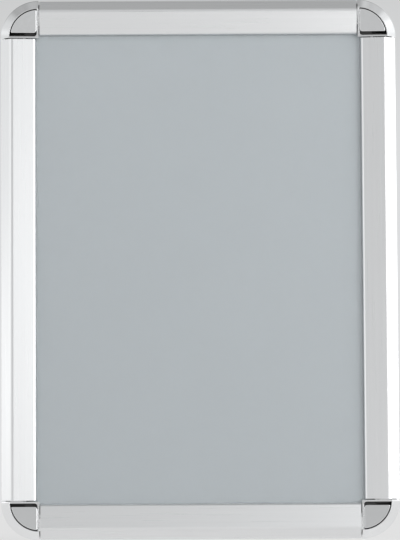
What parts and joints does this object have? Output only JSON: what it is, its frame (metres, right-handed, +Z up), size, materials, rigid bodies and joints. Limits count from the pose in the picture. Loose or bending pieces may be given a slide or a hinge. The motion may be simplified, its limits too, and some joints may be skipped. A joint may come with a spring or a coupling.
{
  "type": "snap-open clip frame",
  "caption": "Upright wall poster frame with hinged snap-open aluminium front clips and rounded chromed corner blocks whose caps cover the wall screws.",
  "frame": {"origin": "middle of the wall screw pattern, on the wall plane", "axes": "+X to the right, +Z up, +Y into the wall, so the front looks along -Y"},
  "size_m": [0.341, 0.0137, 0.464],
  "materials": {
    "base_aluminium": "satin anodised",
    "clip_aluminium": "satin silver anodised",
    "corner_chrome": "bright chrome plating",
    "cap_chrome": "bright chrome plating",
    "spring_steel": "rolled strip",
    "screw_steel": "zinc plated",
    "grey_panel": "matt grey sheet",
    "clear_sheet": "clear anti-glare plastic sheet"
  },
  "bodies": {
    "frame": {"base_rail_top": "base_aluminium", "base_rail_bottom": "base_aluminium", "base_rail_left": "base_aluminium", "base_rail_right": "base_aluminium", "snap_springs_top": "spring_steel", "snap_springs_bottom": "spring_steel", "snap_springs_left": "spring_steel", "snap_springs_right": "spring_steel", "corner_block_top_left": "corner_chrome", "corner_block_top_right": "corner_chrome", "corner_block_bottom_left": "corner_chrome", "corner_block_bottom_right": "corner_chrome", "corner_screws_top_left": "screw_steel", "corner_screws_top_right": "screw_steel", "corner_screws_bottom_left": "screw_steel", "corner_screws_bottom_right": "screw_steel", "backing_panel": "grey_panel", "cover_sheet": "clear_sheet"},
    "top_clip": {"front_clip_top": "clip_aluminium"},
    "bottom_clip": {"front_clip_bottom": "clip_aluminium"},
    "left_clip": {"front_clip_left": "clip_aluminium"},
    "right_clip": {"front_clip_right": "clip_aluminium"},
    "top_left_cap": {"corner_cap_top_left": "cap_chrome"},
    "top_right_cap": {"corner_cap_top_right": "cap_chrome"},
    "bottom_left_cap": {"corner_cap_bottom_left": "cap_chrome"},
    "bottom_right_cap": {"corner_cap_bottom_right": "cap_chrome"}
  },
  "joints": [
    {"name": "top_clip_hinge", "type": "hinge", "parent": "frame", "child": "top_clip", "pos_m": [0, -0.006, 0.2291], "axis": [-1, 0, 0], "range_deg": [0, 95], "deforming": ["snap_springs_top"]},
    {"name": "bottom_clip_hinge", "type": "hinge", "parent": "frame", "child": "bottom_clip", "pos_m": [0, -0.006, -0.2291], "axis": [1, 0, 0], "range_deg": [0, 95], "deforming": ["snap_springs_bottom"]},
    {"name": "left_clip_hinge", "type": "hinge", "parent": "frame", "child": "left_clip", "pos_m": [-0.1676, -0.006, 0], "axis": [0, 0, -1], "range_deg": [0, 95], "deforming": ["snap_springs_left"]},
    {"name": "right_clip_hinge", "type": "hinge", "parent": "frame", "child": "right_clip", "pos_m": [0.1676, -0.006, 0], "axis": [0, 0, 1], "range_deg": [0, 95], "deforming": ["snap_springs_right"]},
    {"name": "top_left_cap_pull", "type": "slide", "parent": "frame", "child": "top_left_cap", "axis": [0, -1, 0], "range_m": [0, 0.015]},
    {"name": "top_right_cap_pull", "type": "slide", "parent": "frame", "child": "top_right_cap", "axis": [0, -1, 0], "range_m": [0, 0.015]},
    {"name": "bottom_left_cap_pull", "type": "slide", "parent": "frame", "child": "bottom_left_cap", "axis": [0, -1, 0], "range_m": [0, 0.015]},
    {"name": "bottom_right_cap_pull", "type": "slide", "parent": "frame", "child": "bottom_right_cap", "axis": [0, -1, 0], "range_m": [0, 0.015]}
  ]
}
